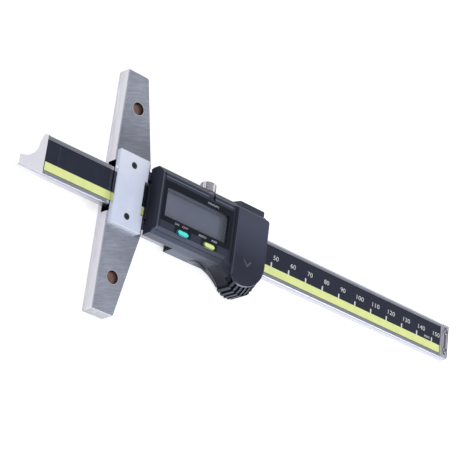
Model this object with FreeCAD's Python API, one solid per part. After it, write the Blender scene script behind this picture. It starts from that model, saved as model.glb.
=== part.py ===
"""Digital depth gauge: a steel base with a slider body, a sliding beam with a scale, and a
moulded display housing with buttons, battery, output socket and lock screw.

Frame, in millimetres: +X runs along the beam towards its far end, +Y towards the lock screw and
+Z out of the display. The origin is on the base's measuring face, on the beam's centre line, in
the rear plane that the gauge lies on.
"""

import FreeCAD, Part
import math
import os

# Beam and its fit in the slider
reading = 41.7
beam_length = 237.8
beam_width = 16.0
beam_thick = 3.5
beam_edge = 0.35
slide_gap = 0.05
rear_wall = 2.0
front_step = 0.45
gib_thick = 1.0

# Measuring tip of the beam
tip_width = 4.0
tip_radius = 7.6
shoulder_lean = 0.9
shoulder_width = 2.9
shoulder_round = 2.2

# Scale set into the beam's face, with a steel border on both sides
label_start = 10.8
label_end_gap = 0.5
low_border = 1.7
high_border = 1.8
groove_depth = 0.65
strip_thick = 0.45
label_thick = 0.15

# Stop at the beam's far end
stop_length = 4.0
stop_thick = 0.8
stop_inset = 0.5
stop_corner = 0.4
stop_screw_inset = (4.0, 3.5)
stop_screw_radius = 0.8
stop_head_radius = 1.25
stop_head_height = 0.7
stop_head_bevel = 0.2
stop_screw_depth = 2.4

# Base with its arms and the slider body
base_length = 100.0
arm_end_depth = 10.1
arm_root_depth = 17.1
arm_shoulder = 3.8
arm_corner = 0.8
arm_edge = 0.3
body_length = 75.0
rail_width = 3.15
relief_gap = 1.55
relief_depth = 3.5
extension_hole_radius = 2.6
extension_hole_x = 7.1
extension_hole_inset = 14.7

# Plate that holds the beam down at the base
plate_start = 0.6
plate_setback = 1.7
plate_side_inset = 0.7
plate_thick = 2.0
plate_corner = 0.5
plate_bevel = 0.25
plate_notch = (-7.8, 6.3)
plate_notch_depth = 1.4
plate_pad_width = 1.1
plate_screw_setback = 7.5
plate_screw_inset = 1.6
plate_screw_radius = 0.8
plate_head_radius = 1.35
plate_head_depth = 0.9
plate_head_sunk = 0.15
plate_screw_length = 5.6

# Driver slots in the screw heads
cross_share = 1.2
cross_width = 0.3
cross_depth = 0.4

# Gib, clamp shoe and lock screw
gib_inset = 1.0
gib_screw_inset = (9.0, 11.0)
gib_screw_radius = 0.9
gib_screw_sunk = 0.2
lock_setback = 26.4
lock_z = 3.85
shoe_length = 6.0
shoe_height = 2.2
shoe_thick = 0.8
shoe_gap = 0.1
shoe_travel = 0.25
window_gap = 0.25
thread_radius = 1.5
thread_gap = 0.05
neck_radius = 1.6
point_radius = 1.0
point_length = 0.7
knob_reach = 3.8
knob_length = 4.2
knob_radius = 3.3
knob_bevel = 0.5
knurl_count = 28
knurl_depth = 0.3

# Display housing
housing_setback = 0.5
low_overhang = 1.9
high_overhang = 1.6
front_wall = 2.0
side_wall = 1.5
low_wall = 1.5
end_wall = 1.9
seat_wall = 1.0
end_bevel = 1.3
end_step = 0.3
end_step_height = 1.2
low_bevel = 2.8
low_bevel_mid = (1.35, 1.0)
low_bevel_drop = 2.6
line_radius = 0.22
line_end_gap = 4.0
rim_line = (1.05, 0.7)
rim_line_depth = 0.3
high_bevel = 2.4
high_bevel_drop = 2.3
front_round = 0.5
lip_reach = 0.5
lip_side_gap = 0.3
skirt_offset = 15.7
skirt_gap = 0.05
skirt_lift = 0.3
scoop_radius = 9.0
scoop_offset = 1.1
scoop_depth = 1.3
scoop_rise = 2.5
scoop_low = 1.3

# Thumb rest, an outline of two arcs seen from the front, placed from the housing's lower right corner
thumb_hollow = ((-22.5, 0.2), (-18.0, -1.3), (-13.5, -4.3))
thumb_nose = ((-6.4, -7.6), (0.0, -2.8))
thumb_top_drop = 1.2
thumb_slopes = ((0.8, 1.8), (2.0, 2.0))
rib_count = 7
rib_pitch = 1.95
rib_groove = 0.95
rib_depth = 0.8
rib_offset = 13.1
rib_side_gap = 0.3
valley_depth = 0.5
valley_edge = ((0.0, 2.8), (0.0, 1.1), (0.2, 0.2), (1.7, -2.5), (2.8, -8.5))
shoulder_length = 4.0
shoulder_reach = 6.0
shoulder_flare = ((3.3, 0.0), (3.2, 0.3), (3.15, 1.2))

# Electronics stacked over the beam
read_gap = 0.2
reader_thick = 0.8
reader_side_gap = 0.4
reader_inset = (0.4, 0.8)
frame_thick = 0.85
frame_slot_gap = 0.25
inner_gap = 0.15
board_thick = 0.8
board_overlap = 0.6
chip_length = 7.0
chip_width = 6.0
chip_thick = 0.5
chip_offset = 2.2
strip_height = 0.7
strip_width = 1.5
strip_inset = 0.6
strip_side_inset = 0.2
fit_gap = 0.05

# Display: window, panel behind it and the dark frame round it, each placed from the one before
bezel_depth = 0.35
bezel_thick = 0.3
bezel_margin = (1.9, 2.0)
bezel_low_gap = 2.0
bezel_high_gap = 0.4
window_side_gap = (2.2, 2.8)
window_end_gap = (4.0, 1.5)
window_flange = 0.8
window_flange_width = 0.9
window_rise = 0.8
lcd_thick = 1.5
lcd_margin = (0.7, 0.4)
lcd_side_margin = (1.3, 1.1)

# Buttons
button_inset = 1.9
on_off_share = 0.307
zero_share = 0.733
button_length = 7.0
button_width = 2.5
button_flat = 4.2
button_corner = 0.7
button_rise = 0.5
button_gap = 0.15
button_bevel = 0.45
button_flange = 0.5
flange_thick = 0.5
button_travel = 0.5
foot_length = 0.8
foot_radius = 0.9
pad_gap = 0.2
pad_margin = 0.6
pad_corner = 0.8
origin_offset = 10.4
origin_inset = 1.45
origin_length = 2.3
origin_width = 2.9
origin_rise = 0.75
origin_corner = 0.4
origin_flange = 0.35
origin_foot_radius = 0.7
origin_pad_half = (2.5, 1.2)
notch_length = 3.4
notch_width = 4.9
notch_depth = 1.1
notch_offset = 0.45

# Battery, its pocket and contacts
battery_radius = 5.8
battery_height = 5.4
battery_rim = 0.35
battery_rim_inset = 1.0
battery_round = 0.3
battery_setback = 9.0
battery_inset = 6.3
pocket_gap = 0.15
floor_thick = 0.8
contact_thick = 0.25
contact_width = 3.0
contact_offset = 2.8
leaf_share = 0.8

# Battery cover with its runners and arrow
cover_gap = 0.1
cover_length = 16.9
cover_inset = 0.7
cover_thick = 1.0
cover_corner = 1.2
cover_right_radius = 11.8
cover_overhang = 6.3
cover_round = 0.3
seat_margin = 0.2
tongue_leg = 0.8
tongue_foot = 0.4
tongue_height = 1.0
tongue_gap = 0.1
tongue_inset = 0.9
tongue_top_inset = 1.9
tongue_low_inset = 2.3
arrow_offset = (-0.2, -2.7)
arrow_width = 5.5
arrow_drop = 3.4
arrow_line = 1.2
arrow_height = 1.6
arrow_depth = 0.3

# Output socket and its cap
cap_length = 12.6
cap_depth = 2.8
cap_height = 3.6
cap_gap = 0.05
cap_round = 0.5
ramp_flat = 0.6
ramp_lead = 2.0
socket_inset = (0.8, 3.0)
socket_depth = 5.2
socket_face_inset = 2.6
socket_floor = 0.7
socket_height = 2.6
pin_count = 5
pin_radius = 0.25
pin_length = 1.6
pin_root = 0.3
cap_tongue_gap = 0.35
cap_tongue_end_gap = 0.2

# Screws that hold the housing to the slider body, from behind
housing_screw_inset = (5.4, 1.7)
housing_screw_side_inset = 1.8
housing_screw_radius = 0.75
housing_screw_reach = 2.6
housing_head_radius = 1.45
housing_head_depth = 0.8
boss_radius = 1.8
boss_gap = 0.2
screw_gap = 0.02
screw_end_gap = 0.3

# Heights that follow from the sizes above
beam_low = rear_wall + slide_gap
beam_front = beam_low + beam_thick
base_thick = beam_front + front_step
plate_top = base_thick + plate_thick
reader_low = beam_front + read_gap
frame_low = reader_low + reader_thick
board_low = frame_low + frame_thick
board_top = board_low + board_thick
lcd_back = board_top + strip_height
lcd_front = lcd_back + lcd_thick
cavity_top = lcd_front + window_flange
front = cavity_top + front_wall
pocket_floor = base_thick + floor_thick
battery_low = pocket_floor + contact_thick
seat = battery_low + battery_height + seat_margin
cover_top = seat + cover_thick
flange_low = cavity_top - button_gap - flange_thick
button_foot = flange_low - foot_length
housing_screw_end = base_thick + housing_screw_reach
socket_low = base_thick + socket_floor

# Places across the beam
slot_low = -(beam_width / 2 + slide_gap)
gib_low = beam_width / 2 + slide_gap
slot_high = gib_low + gib_thick
body_half = slot_high + rail_width
arm_root_half = body_half + arm_shoulder
scale_low = -(beam_width / 2 - low_border)
scale_high = beam_width / 2 - high_border
side_low = -(body_half + low_overhang)
side_high = body_half + high_overhang
plate_screw_y = slot_high + plate_screw_inset
housing_screw_y = body_half - housing_screw_side_inset
knob_start = body_half + knob_reach
shoe_face = gib_low + shoe_gap
shoe_back = shoe_face + shoe_thick
button_y = button_inset - body_half
origin_y = body_half - origin_inset
origin_low = origin_y - origin_width / 2
notch_low = side_high - notch_width
bezel_low = button_y + bezel_low_gap
bezel_high = notch_low - bezel_high_gap
window_low = bezel_low + window_side_gap[0]
window_high = bezel_high - window_side_gap[1]
lcd_low = window_low - lcd_side_margin[0]
lcd_high = window_high + lcd_side_margin[1]
battery_y = side_low + battery_inset
cover_top_y = body_half - cover_inset
cover_nose_y = side_low - cover_overhang
socket_face_y = side_high - socket_face_inset
socket_low_y = socket_face_y - socket_depth

# Places along the beam
tip_x = -reading
beam_end = tip_x + beam_length
stop_x = beam_end - stop_inset - stop_length / 2
scale_start = tip_x + label_start
scale_end = stop_x - stop_length / 2 - label_end_gap
plate_end = arm_root_depth - plate_setback
plate_screw_x = plate_end - plate_screw_setback
gib_start = arm_root_depth + gib_inset
gib_end = body_length - gib_inset
gib_screw_x = (gib_start + gib_screw_inset[0], gib_end - gib_screw_inset[1])
lock_x = body_length - lock_setback
housing_start = arm_root_depth + housing_setback
housing_screw_x = (housing_start + housing_screw_inset[0], body_length - housing_screw_inset[1])
cover_start = body_length - cover_length
cover_left_radius = cover_length - cover_right_radius
seat_start = cover_start - cover_gap
cavity_end = seat_start - seat_wall
contact_start = cover_start - contact_offset
window_start = housing_start + window_end_gap[0]
window_end = contact_start - window_end_gap[1]
on_off_x = window_start + on_off_share * (window_end - window_start)
zero_x = window_start + zero_share * (window_end - window_start)
origin_x = window_end - origin_offset
battery_x = body_length - battery_setback
cap_start = body_length - cap_length
socket_start = cap_start + socket_inset[0]
socket_end = body_length - socket_inset[1]

X_AXIS = FreeCAD.Vector(1, 0, 0)
Y_AXIS = FreeCAD.Vector(0, 1, 0)
Z_AXIS = FreeCAD.Vector(0, 0, 1)
CLEAR = 1.0
TINY = 0.01


def point(x, y, z=0.0):
    return FreeCAD.Vector(x, y, z)


def block(x, y, z):
    """A box between a low and a high limit on each axis."""
    corner = point(x[0], y[0], z[0])
    return Part.makeBox(x[1] - x[0], y[1] - y[0], z[1] - z[0], corner)


def rod(radius, start, end, x, y, axis=Z_AXIS):
    """A cylinder along Z through (x, y), or along Y through (x, z), between two levels."""
    if axis is Y_AXIS:
        return Part.makeCylinder(radius, end - start, point(x, start, y), axis)
    return Part.makeCylinder(radius, end - start, point(x, y, start), axis)


def cone(low_radius, high_radius, start, end, x, y):
    return Part.makeCone(low_radius, high_radius, end - start, point(x, y, start), Z_AXIS)


def fused(shapes):
    return shapes[0].multiFuse(shapes[1:]).removeSplitter()


def prism(edges, low, high):
    """The outline given by edges in the XY plane, from one height to another."""
    face = Part.Face(Part.Wire(Part.__sortEdges__(edges)))
    solid = face.extrude(point(0, 0, high - low))
    solid.translate(point(0, 0, low))
    return solid


def lines(points):
    """Straight edges through points of the XY plane."""
    return [
        Part.LineSegment(point(*a), point(*b)).toShape()
        for a, b in zip(points, points[1:])
    ]


def arc(a, b, c):
    return Part.Arc(point(*a), point(*b), point(*c)).toShape()


def quarter(centre, radius, start_angle, end_angle):
    """An arc about a centre, by its angles in degrees."""
    places = []
    for angle in (start_angle, (start_angle + end_angle) / 2, end_angle):
        turn = math.radians(angle)
        places.append((centre[0] + radius * math.cos(turn), centre[1] + radius * math.sin(turn)))
    return arc(*places)


def key_plate(x, grow, low, high):
    """The six-sided outline of the two lower keys, grown by a gap, with rounded corners."""
    reach, half, flat = button_length / 2, button_width / 2, button_flat / 2
    slant = math.atan2(reach - flat, half)
    reach += grow / math.cos(slant)
    flat += grow * (1 - math.sin(slant)) / math.cos(slant)
    half += grow
    corners = [(reach, 0), (flat, half), (-flat, half), (-reach, 0), (-flat, -half), (flat, -half)]
    corners = [(x + a, button_y + b) for a, b in corners]
    solid = prism(lines(corners + [corners[0]]), low, high)
    return solid.makeFillet(button_corner + grow, [edge for edge in solid.Edges if is_upright(edge)])


def edges_where(solid, test):
    """The edges whose middle passes a test."""
    found = []
    for edge in solid.Edges:
        if test(edge.CenterOfMass):
            found.append(edge)
    return found


def bevelled(solid, size, test):
    return solid.makeChamfer(size, edges_where(solid, test))


def rounded(solid, radius, test):
    return solid.makeFillet(radius, edges_where(solid, test))


def is_upright(edge):
    low, high = edge.Vertexes[0].Point, edge.Vertexes[-1].Point
    return abs(low.x - high.x) < 1e-6 and abs(low.y - high.y) < 1e-6


def round_plate(x, y, z, radius):
    """A box with its four upright edges rounded."""
    solid = block(x, y, z)
    return solid.makeFillet(radius, [edge for edge in solid.Edges if is_upright(edge)])


def housing_screw_places():
    return [(x, side * housing_screw_y) for x in housing_screw_x for side in (-1, 1)]


def depth_base():
    """Arms, slider body and beam slot, ground from one piece of steel."""
    half = base_length / 2
    outline = [
        (0, -half), (arm_end_depth, -half), (arm_root_depth, -arm_root_half),
        (arm_root_depth, -body_half), (body_length, -body_half),
        (body_length, body_half), (arm_root_depth, body_half),
        (arm_root_depth, arm_root_half), (arm_end_depth, half), (0, half), (0, -half),
    ]
    base = prism(lines(outline), 0, base_thick)
    corners = []
    for edge in base.Edges:
        middle = edge.CenterOfMass
        if is_upright(edge) and abs(middle.y) > half - TINY and middle.x > TINY:
            corners.append(edge)
    base = base.makeFillet(arm_corner, corners)
    base = bevelled(base, arm_edge, lambda c: c.z > base_thick - TINY
                    and (c.x < TINY or abs(c.y) > arm_root_half + TINY))
    relief_half = slot_high + relief_gap
    cuts = [
        block((-CLEAR, body_length + CLEAR), (slot_low, slot_high), (rear_wall, base_thick + CLEAR)),
        block((-CLEAR, relief_depth), (-relief_half, relief_half), (rear_wall, base_thick + CLEAR)),
    ]
    for side in (-1, 1):
        y = side * (half - extension_hole_inset)
        cuts.append(rod(extension_hole_radius, -CLEAR, base_thick + CLEAR, extension_hole_x, y))
        screw_end = plate_top - plate_screw_length
        cuts.append(rod(plate_screw_radius + screw_gap, screw_end, base_thick + CLEAR,
                        plate_screw_x, side * plate_screw_y))
    for x, y in housing_screw_places():
        radius = housing_screw_radius + 2 * screw_gap
        head = housing_head_radius + screw_gap
        cuts.append(rod(radius, -CLEAR, base_thick + CLEAR, x, y))
        cuts.append(cone(head, radius, 0, housing_head_depth + screw_gap, x, y))
    cuts.append(rod(thread_radius + thread_gap, 0, body_half + CLEAR, lock_x, lock_z, Y_AXIS))
    pocket = shoe_back + shoe_travel + shoe_gap
    cuts.append(block((lock_x - shoe_length / 2 - window_gap, lock_x + shoe_length / 2 + window_gap),
                      (slot_high - CLEAR, pocket),
                      (lock_z - shoe_height / 2 - window_gap, lock_z + shoe_height / 2 + window_gap)))
    for x in gib_screw_x:
        cuts.append(rod(gib_screw_radius + screw_gap, slot_high - CLEAR, body_half + CLEAR,
                        x, lock_z, Y_AXIS))
    return base.cut(fused(cuts))


def retaining_plate():
    """Satin plate across the beam, with a pad on each border of the beam under it."""
    half = arm_root_half - plate_side_inset
    plate = round_plate((plate_start, plate_end), (-half, half), (base_thick, plate_top), plate_corner)
    plate = bevelled(plate, plate_bevel, lambda c: abs(c.z - plate_top) < TINY)
    notch = block((plate_end - plate_notch_depth, plate_end + CLEAR), plate_notch,
                  (base_thick - CLEAR, plate_top + CLEAR))
    plate = plate.cut(notch)
    pads = []
    outer = beam_width / 2 - slide_gap
    for side in (-1, 1):
        y = sorted((side * outer, side * (outer - plate_pad_width)))
        pads.append(block((relief_depth, plate_end - plate_notch_depth), y,
                          (beam_front + slide_gap, base_thick)))
    plate = fused([plate] + pads)
    for side in (-1, 1):
        y = side * plate_screw_y
        hole = rod(plate_screw_radius + screw_gap, base_thick - CLEAR, plate_top + CLEAR,
                   plate_screw_x, y)
        sink = rod(plate_head_radius + screw_gap, plate_top - plate_head_depth, plate_top + CLEAR,
                   plate_screw_x, y)
        plate = plate.cut(hole).cut(sink)
    return plate


def retaining_screws():
    """Two countersunk cross-head screws, set just below the plate's face."""
    top = plate_top - plate_head_sunk
    under = plate_top - plate_head_depth
    low = plate_top - plate_screw_length + screw_gap
    screws = []
    for side in (-1, 1):
        y = side * plate_screw_y
        head = rod(plate_head_radius, under, top, plate_screw_x, y)
        shank = rod(plate_screw_radius, low, under, plate_screw_x, y)
        slots = cross_slot(plate_screw_x, y, (top - cross_depth, top + CLEAR), plate_head_radius)
        screws.append(head.fuse(shank).cut(slots))
    return Part.makeCompound(screws)


def cross_slot(x, y, z, head_radius):
    """The two crossed slots in a screw's head."""
    half = cross_share * head_radius / 2
    thin = cross_width / 2
    along = block((x - half, x + half), (y - thin, y + thin), z)
    across = block((x - thin, x + thin), (y - half, y + half), z)
    return along.fuse(across)


def gib():
    """Flat strip between the beam's upper edge and the slot, with a window for the shoe."""
    strip = block((gib_start, gib_end), (gib_low, slot_high), (beam_low, beam_front))
    window = block((lock_x - shoe_length / 2 - window_gap, lock_x + shoe_length / 2 + window_gap),
                   (0, slot_high + CLEAR),
                   (lock_z - shoe_height / 2 - window_gap, lock_z + shoe_height / 2 + window_gap))
    return strip.cut(window)


def gib_screws():
    """Two grub screws in the slider body's upper wall, against the gib."""
    screws = []
    for x in gib_screw_x:
        end = body_half - gib_screw_sunk
        screw = rod(gib_screw_radius, slot_high, end, x, lock_z, Y_AXIS)
        slot = block((x - gib_screw_radius, x + gib_screw_radius), (end - cross_depth, end),
                     (lock_z - cross_width / 2, lock_z + cross_width / 2))
        screws.append(screw.cut(slot))
    return Part.makeCompound(screws)


def clamp_shoe():
    return block((lock_x - shoe_length / 2, lock_x + shoe_length / 2), (shoe_face, shoe_back),
                 (lock_z - shoe_height / 2, lock_z + shoe_height / 2))


def lock_screw():
    """Knurled thumb screw that presses the shoe on the beam's edge."""
    tip = shoe_back + screw_gap
    thread_start = tip + point_length
    thread_end = body_half + 3 * shoe_gap
    dog_point = rod(point_radius, tip, thread_start, lock_x, lock_z, Y_AXIS)
    thread = rod(thread_radius, thread_start, thread_end, lock_x, lock_z, Y_AXIS)
    neck = rod(neck_radius, thread_end, knob_start, lock_x, lock_z, Y_AXIS)
    profile = [
        (0, 0), (knob_radius - knob_bevel, 0), (knob_radius, knob_bevel),
        (knob_radius, knob_length - knob_bevel), (knob_radius - knob_bevel, knob_length),
        (0, knob_length), (0, 0),
    ]
    turned = Part.Face(Part.Wire(lines(profile))).revolve(point(0, 0), Y_AXIS, 360)
    ring = []
    for tooth in range(knurl_count):
        for half, radius in ((0, knob_radius), (1, knob_radius - knurl_depth)):
            angle = 2 * math.pi * (tooth + half / 2) / knurl_count
            ring.append(point(radius * math.cos(angle), -CLEAR, radius * math.sin(angle)))
    star = Part.Face(Part.makePolygon(ring + [ring[0]])).extrude(point(0, knob_length + 2 * CLEAR, 0))
    knob = turned.common(star)
    knob.translate(point(lock_x, knob_start, lock_z))
    return fused([dog_point, thread, neck, knob])


def beam():
    """Flat steel beam with its measuring tip and the groove for the scale."""
    half = beam_width / 2
    low_tip = -half + tip_width
    arc_top = (tip_x + tip_radius, low_tip + tip_radius)
    lean_top = (arc_top[0] + shoulder_lean, arc_top[1] + shoulder_width)
    shoulder = (lean_top[0] + shoulder_round, half)
    shoulder_mid = (lean_top[0] + 0.25 * shoulder_round, half - 0.35 * (half - lean_top[1]))
    edges = [
        quarter((tip_x, low_tip + tip_radius), tip_radius, -90, 0),
        arc(lean_top, shoulder_mid, shoulder),
    ]
    edges += lines([arc_top, lean_top])
    edges += lines([shoulder, (beam_end, half), (beam_end, -half), (tip_x, -half), (tip_x, low_tip)])
    bar = prism(edges, beam_low, beam_front)
    long_edges = []
    for edge in bar.Edges:
        middle = edge.CenterOfMass
        if edge.Length > beam_length / 2 and abs(middle.z - beam_front) < 0.01:
            long_edges.append(edge)
    bar = bar.makeChamfer(beam_edge, long_edges)
    groove = block((scale_start, scale_end), (scale_low, scale_high),
                   (beam_front - groove_depth, beam_front + CLEAR))
    bar = bar.cut(groove)
    for y in stop_screw_places():
        bar = bar.cut(rod(stop_screw_radius + screw_gap, beam_front - stop_screw_depth,
                          beam_front + CLEAR, stop_x, y))
    return bar


def scale_layer(low, thick):
    """A thin strip that fills the beam's groove."""
    return block((scale_start + fit_gap, scale_end - fit_gap),
                 (scale_low + fit_gap, scale_high - fit_gap), (low, low + thick))


def scale_strip():
    return scale_layer(beam_front - groove_depth, strip_thick)


def scale_label():
    return scale_layer(beam_front - groove_depth + strip_thick, label_thick)


def stop_screw_places():
    return (beam_width / 2 - stop_screw_inset[0], stop_screw_inset[1] - beam_width / 2)


def end_stop():
    """Small plate at the beam's far end that keeps the slider on."""
    half = beam_width / 2 - stop_inset
    plate = round_plate((stop_x - stop_length / 2, stop_x + stop_length / 2), (-half, half),
                        (beam_front, beam_front + stop_thick), stop_corner)
    for y in stop_screw_places():
        plate = plate.cut(rod(stop_screw_radius + screw_gap, beam_front - CLEAR,
                              beam_front + stop_thick + CLEAR, stop_x, y))
    return plate


def end_stop_screws():
    """Two cheese-head screws through the stop into the beam."""
    under = beam_front + stop_thick
    top = under + stop_head_height
    screws = []
    for y in stop_screw_places():
        head = rod(stop_head_radius, under, top, stop_x, y)
        head = bevelled(head, stop_head_bevel, lambda c: abs(c.z - top) < TINY)
        shank = rod(stop_screw_radius, beam_front - stop_screw_depth + screw_gap, under, stop_x, y)
        slots = cross_slot(stop_x, y, (top - cross_depth, top + CLEAR), stop_head_radius)
        screws.append(head.fuse(shank).cut(slots))
    return Part.makeCompound(screws)


def section(start, end, top):
    """The housing's cross-section with its bevelled long edges, along X."""
    places = [(y, z + top - front) for y, z in bevel_places()]
    places += [
        (side_low, base_thick), (side_high, base_thick), (side_high, top - high_bevel_drop),
        (side_high - high_bevel, top), places[0],
    ]
    wire = Part.makePolygon([point(start, y, z) for y, z in places])
    return Part.Face(wire).extrude(point(end - start, 0, 0))


def bevel_places():
    """The corners of the front's lower bevel across the beam, from the front down."""
    return [
        (side_low + low_bevel, front), (side_low + low_bevel_mid[0], front - low_bevel_mid[1]),
        (side_low, front - low_bevel_drop),
    ]


def from_corner(offset):
    """A place by its offset from the housing's lower right corner, seen from the front."""
    return (body_length + offset[0], side_low + offset[1])


def thumb_rest():
    """The rest's flared body with grooves that wrap from its side onto its front."""
    hollow = [from_corner(offset) for offset in thumb_hollow]
    nose_mid, nose_end = [from_corner(offset) for offset in thumb_nose]
    inner = side_low + low_bevel
    edges = [arc(*hollow), arc(hollow[-1], nose_mid, nose_end)]
    edges += lines([nose_end, (body_length, inner), (hollow[0][0], inner), hollow[0]])
    top = seat - thumb_top_drop
    shoulder = top - sum(rise for _, rise in thumb_slopes)
    layers = [prism(edges, skirt_lift, shoulder)]
    face = Part.Face(Part.Wire(Part.__sortEdges__(edges)))
    face.translate(point(0, 0, shoulder))
    for inward, rise in thumb_slopes:
        layers.append(face.extrude(point(0, inward, rise)))
        face.translate(point(0, inward, rise))
    flare = fused(layers)
    valley = prism(lines(valley_outline()), shoulder, front + CLEAR)
    flare = flare.cut(skin(flare, valley_depth).common(valley))
    grooves = []
    for index in range(rib_count):
        x = body_length - rib_offset + index * rib_pitch
        grooves.append(block((x, x + rib_groove), (nose_mid[1] - CLEAR, side_low - rib_side_gap),
                             (skirt_lift - CLEAR, top + CLEAR)))
    flare = flare.cut(skin(flare, rib_depth).common(Part.makeCompound(grooves)))
    shoulder_part = rest_shoulder(shoulder).cut(valley)
    under_lid = block((seat_start, body_length), (nose_mid[1], inner + 2 * CLEAR), (seat, front + CLEAR))
    return fused([flare, shoulder_part.cut(under_lid)])


def rest_shoulder(low):
    """The front's lower bevel swelling outwards into the thumb rest."""
    start = seat_start - shoulder_length
    near = bevel_places()
    far = []
    for (y, z), (outward, drop) in zip(near, shoulder_flare):
        far.append((y - outward, z - drop))
    inner = near[0][0] + CLEAR
    wires = []
    for x, places in ((start, near), (start + shoulder_reach, far)):
        ring = places + [(places[-1][0], low), (inner, low), (inner, front)]
        wires.append(Part.makePolygon([point(x, y, z) for y, z in ring + [ring[0]]]))
    return Part.makeLoft(wires, True, True)


def skin(solid, depth):
    """The outer layer of a solid on its lower side and its top."""
    inside = solid.copy()
    inside.translate(point(0, depth, -depth))
    return solid.cut(inside)


def valley_outline():
    """The ribbed part of the thumb rest, which lies a little deeper than the part beside it."""
    edge = [(seat_start + along, side_low + across) for along, across in valley_edge]
    high, low = edge[0][1], edge[-1][1]
    return edge + [(body_length + CLEAR, low), (body_length + CLEAR, high), edge[0]]


def scoop():
    """A ball-nosed hollow in the side wall, just ahead of the thumb rest."""
    x = lock_x + scoop_offset
    y = side_low + scoop_depth - scoop_radius
    ball = Part.makeSphere(scoop_radius, point(x, y, scoop_rise))
    return ball.fuse(rod(scoop_radius, scoop_low, scoop_rise, x, y)).common(
        rod(scoop_radius, scoop_low, front, x, y))


def tongue_spaces(gap):
    """The L-shaped runners under the cover, grown by a gap for the housing's grooves."""
    shapes = []
    low = seat - tongue_height
    for edge_x, side in ((seat_start + tongue_inset, 1), (body_length - tongue_inset, -1)):
        leg = sorted((edge_x, edge_x + side * tongue_leg))
        foot = sorted((edge_x - side * tongue_foot, edge_x + side * tongue_leg))
        end = side_low + tongue_low_inset if gap == 0 else cover_nose_y - CLEAR
        y = (end, cover_top_y - tongue_top_inset + gap)
        shapes.append(block((leg[0] - gap, leg[1] + gap), y, (low - gap, seat)))
        shapes.append(block((foot[0] - gap, foot[1] + gap), y,
                            (low - gap, low + tongue_height / 2 + gap)))
    return fused(shapes)


def contact_path(y, end, gap=0.0):
    """A flat contact strip on the pocket's floor, from the circuit board to the battery."""
    return block((contact_start - gap, end + gap), (y[0] - gap, y[1] + gap),
                 (pocket_floor, battery_low + gap))


def negative_y():
    return (battery_y - contact_width / 2, battery_y + contact_width / 2)


def positive_y():
    start = battery_y + battery_radius + screw_gap
    return (start, start + contact_width / 2)


def housing():
    """Moulded front: the display part, the part under the cover, the side skirt and thumb rest."""
    main = section(housing_start, seat_start, front)
    wedge_edge = [
        point(housing_start, side_low - CLEAR, front - end_bevel),
        point(housing_start, side_low - CLEAR, front + CLEAR),
        point(housing_start + end_bevel + CLEAR, side_low - CLEAR, front + CLEAR),
    ]
    wedge = Part.Face(Part.makePolygon(wedge_edge + [wedge_edge[0]]))
    width = side_high - side_low + 2 * CLEAR
    main = main.cut(wedge.extrude(point(0, width, 0)))
    main = rounded(main, front_round, lambda c: c.z > front - TINY and c.x < seat_start - TINY)
    main = main.cut(block((housing_start - CLEAR, housing_start + end_step),
                          (side_low - CLEAR, side_high + CLEAR),
                          (base_thick - CLEAR, base_thick + end_step_height)))
    lip = block((housing_start - lip_reach, housing_start + end_step),
                (plate_notch[0] + lip_side_gap, plate_notch[1] - lip_side_gap),
                (reader_low, base_thick + end_step_height))
    under_cover = section(seat_start, body_length, seat)
    skirt = block((housing_start + skirt_offset, body_length), (side_low, -(body_half + skirt_gap)),
                  (skirt_lift, base_thick + CLEAR))
    ramp_end = cap_start - cap_gap
    ramp_start = seat_start - ramp_lead
    ramp = prism(lines([(ramp_start, side_high), (ramp_end - ramp_flat, side_high + cap_depth),
                        (ramp_end, side_high + cap_depth), (ramp_end, side_high - CLEAR),
                        (ramp_start, side_high - CLEAR), (ramp_start, side_high)]),
                 base_thick, base_thick + cap_height)
    rest = thumb_rest().cut(block((0, body_length + CLEAR), (-body_half - skirt_gap, 0),
                                  (-CLEAR, base_thick)))
    shell = fused([main, lip, under_cover, skirt, ramp, rest])
    shell = shell.cut(scoop())

    cavity = block((housing_start + end_wall, cavity_end),
                   (side_low + low_wall, side_high - side_wall),
                   (base_thick - CLEAR, cavity_top))
    bosses = [rod(boss_radius, base_thick, cavity_top + CLEAR, x, y)
              for x, y in housing_screw_places() if x < cavity_end]
    cavity = cavity.cut(Part.makeCompound(bosses))
    shell = shell.cut(cavity)
    cuts = [
        block((window_start, window_end), (window_low, window_high), (cavity_top - CLEAR, front + CLEAR)),
        block(bezel_x(), (bezel_low, bezel_high), (front - bezel_depth, front + CLEAR)),
        tongue_spaces(tongue_gap),
        rod(battery_radius + pocket_gap, pocket_floor, seat + CLEAR, battery_x, battery_y),
        contact_path(negative_y(), battery_x + contact_width, fit_gap),
        contact_path(positive_y(), battery_x + contact_width / 2, fit_gap),
        positive_leaf(fit_gap),
        block(notch_x(), (notch_low, side_high + CLEAR), (front - notch_depth, front + CLEAR)),
        round_plate((origin_x - origin_length / 2 - button_gap, origin_x + origin_length / 2 + button_gap),
                    (origin_low - button_gap, origin_low + origin_width + button_gap),
                    (cavity_top - CLEAR, front), origin_corner + button_gap),
    ]
    for x in (on_off_x, zero_x):
        cuts.append(key_plate(x, button_gap, cavity_top - CLEAR, front + CLEAR))
    line_start = point(housing_start - CLEAR, side_low + low_bevel_mid[0], front - low_bevel_mid[1])
    line_length = seat_start - line_end_gap - line_start.x
    cuts.append(Part.makeCylinder(line_radius, line_length, line_start, X_AXIS))
    cuts.append(block((seat_start - rim_line[0], seat_start - rim_line[1]),
                      (side_low, side_high - high_bevel),
                      (front - rim_line_depth, front + CLEAR)))
    cuts.append(block((socket_start, socket_end), (socket_low_y, side_high + CLEAR),
                      (socket_low, socket_low + socket_height)))
    for x, y in housing_screw_places():
        cuts.append(rod(housing_screw_radius + screw_gap, base_thick - CLEAR,
                        housing_screw_end + screw_end_gap, x, y))
    for cut in cuts:
        shell = shell.cut(cut)
    return shell.removeSplitter()


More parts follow.
